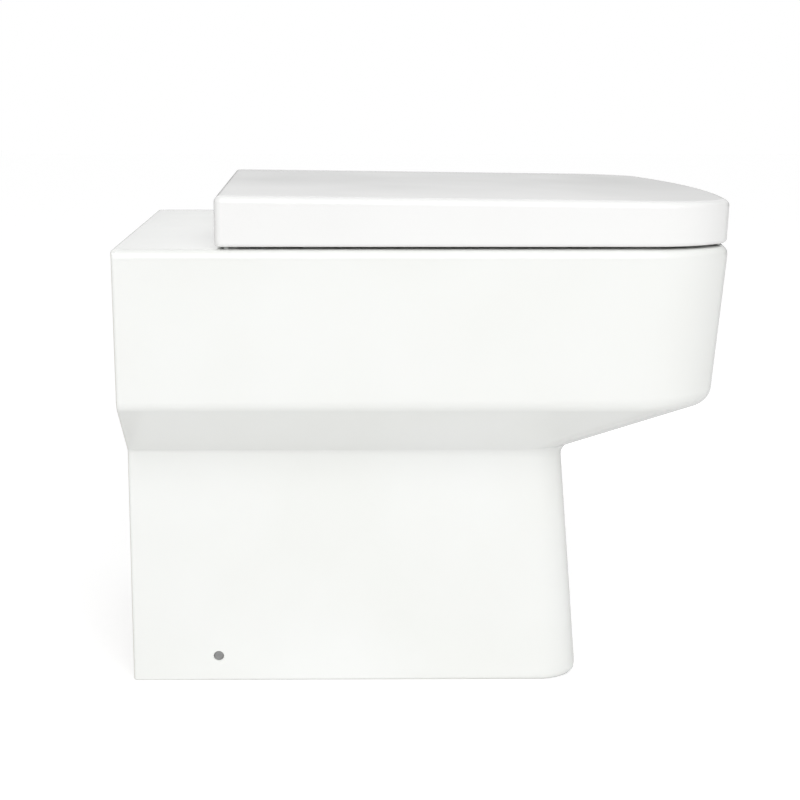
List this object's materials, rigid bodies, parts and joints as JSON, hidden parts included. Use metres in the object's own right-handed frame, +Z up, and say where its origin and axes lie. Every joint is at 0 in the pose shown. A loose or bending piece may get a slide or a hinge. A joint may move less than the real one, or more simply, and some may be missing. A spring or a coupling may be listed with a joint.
{
  "type": "back to wall toilet",
  "caption": "Squared back to wall toilet pan in glazed china with a wrap-over lid and seat on soft closing hinges.",
  "frame": {"origin": "on the floor, under the middle of the pan's width and depth", "axes": "+Z up, +Y towards the wall behind the pan, so the front faces -Y"},
  "size_m": [0.36, 0.52, 0.4426],
  "materials": {
    "china": "glossy white glaze",
    "seat_plastic": "glossy white moulded thermoset",
    "buffer_rubber": "soft pale rubber",
    "black_rubber": "matt black rubber",
    "plated_metal": "polished plating",
    "steel": "stainless steel",
    "grey_plastic": "grey moulded plastic",
    "white_plastic": "white moulded plastic"
  },
  "bodies": {
    "pan_body": {"pan": "china", "rim": "china", "bowl": "china", "sump": "china", "trap": "china", "inlet": "china", "hinge_post_left": "plated_metal", "hinge_post_right": "plated_metal", "hinge_pin_left": "steel", "hinge_pin_right": "steel", "hinge_gasket_left": "buffer_rubber", "hinge_gasket_right": "buffer_rubber", "hinge_bolt_left": "steel", "hinge_bolt_right": "steel", "cone_washer_left": "black_rubber", "cone_washer_right": "black_rubber", "wing_nut_left": "white_plastic", "wing_nut_right": "white_plastic", "floor_bracket_left": "white_plastic", "floor_bracket_right": "white_plastic", "side_sleeve_left": "grey_plastic", "side_sleeve_right": "grey_plastic", "side_screw_left": "steel", "side_screw_right": "steel", "side_cap_left": "grey_plastic", "side_cap_right": "grey_plastic"},
    "seat_body": {"seat": "seat_plastic", "seat_buffers": "buffer_rubber", "seat_damper": "grey_plastic", "seat_bush": "white_plastic"},
    "lid_body": {"lid": "seat_plastic", "lid_buffers": "buffer_rubber", "lid_damper": "grey_plastic", "lid_bush": "white_plastic"}
  },
  "joints": [
    {"name": "seat_hinge", "type": "hinge", "parent": "pan_body", "child": "seat_body", "pos_m": [0, 0.167, 0.43], "axis": [-1, 0, 0], "range_deg": [0, 93]},
    {"name": "lid_hinge", "type": "hinge", "parent": "seat_body", "child": "lid_body", "pos_m": [0, 0.167, 0.43], "axis": [-1, 0, 0], "range_deg": [0, 95]}
  ]
}
